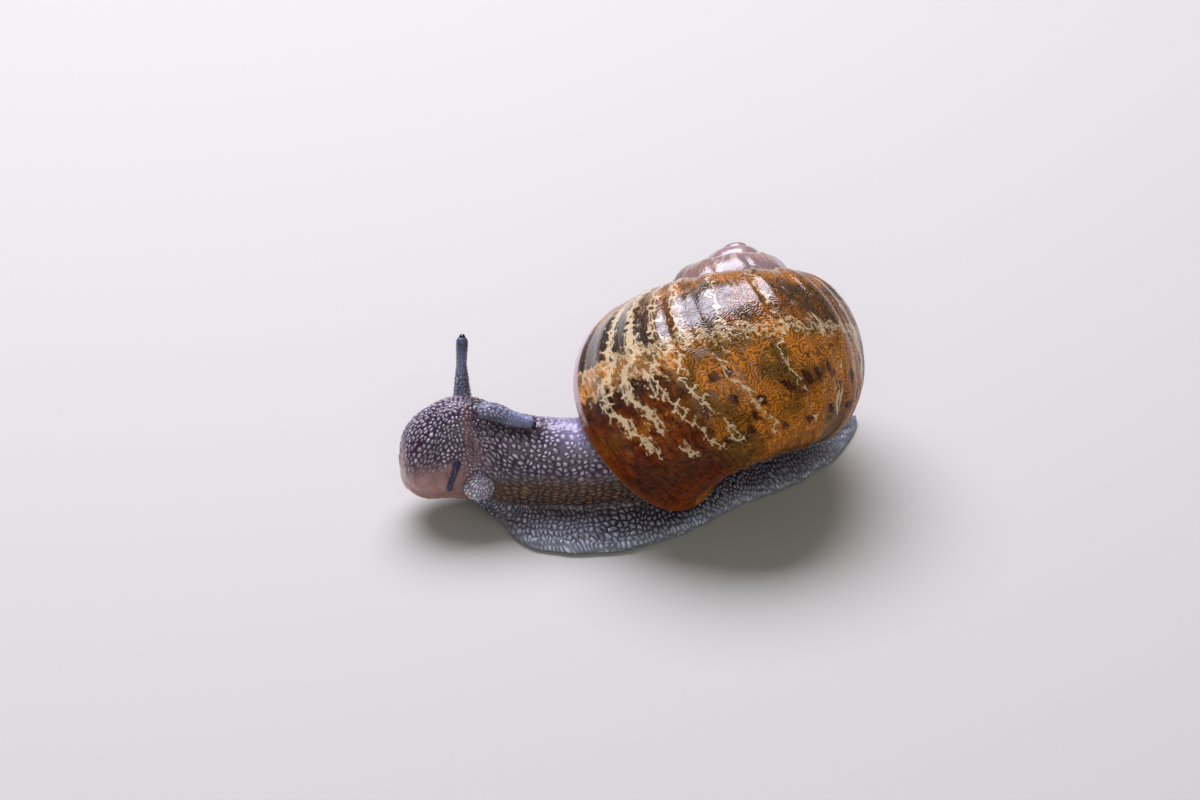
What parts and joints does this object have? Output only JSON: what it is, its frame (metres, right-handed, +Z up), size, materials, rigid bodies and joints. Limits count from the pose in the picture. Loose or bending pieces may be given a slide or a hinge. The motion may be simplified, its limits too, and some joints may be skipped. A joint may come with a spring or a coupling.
{
  "type": "garden snail",
  "caption": "Life-size garden snail with a brown spiral shell, crawling with its head raised, one upper feeler standing and the other folded back along the neck.",
  "frame": {"origin": "centre of the snail's box, on the floor that the sole rests on", "axes": "+X from the head towards the tail tip, +Y to the animal's right, +Z up"},
  "size_m": [0.0584, 0.0309, 0.0278],
  "materials": {
    "shell": "glossy limy shell, brown with darker bands and pale flames",
    "skin": "wet, granular grey-brown skin",
    "eye": "glossy black"
  },
  "bodies": {
    "root": {"shell": "shell", "mantle": "skin", "head": "skin", "neck": "skin", "trunk": "skin", "foot": "skin", "tail": "skin", "lobe_left": "skin", "lobe_right": "skin", "upper_feeler_left": "skin", "upper_feeler_right": "skin", "lower_feeler_left": "skin", "lower_feeler_right": "skin", "eye_left": "eye", "eye_right": "eye"}
  },
  "joints": []
}
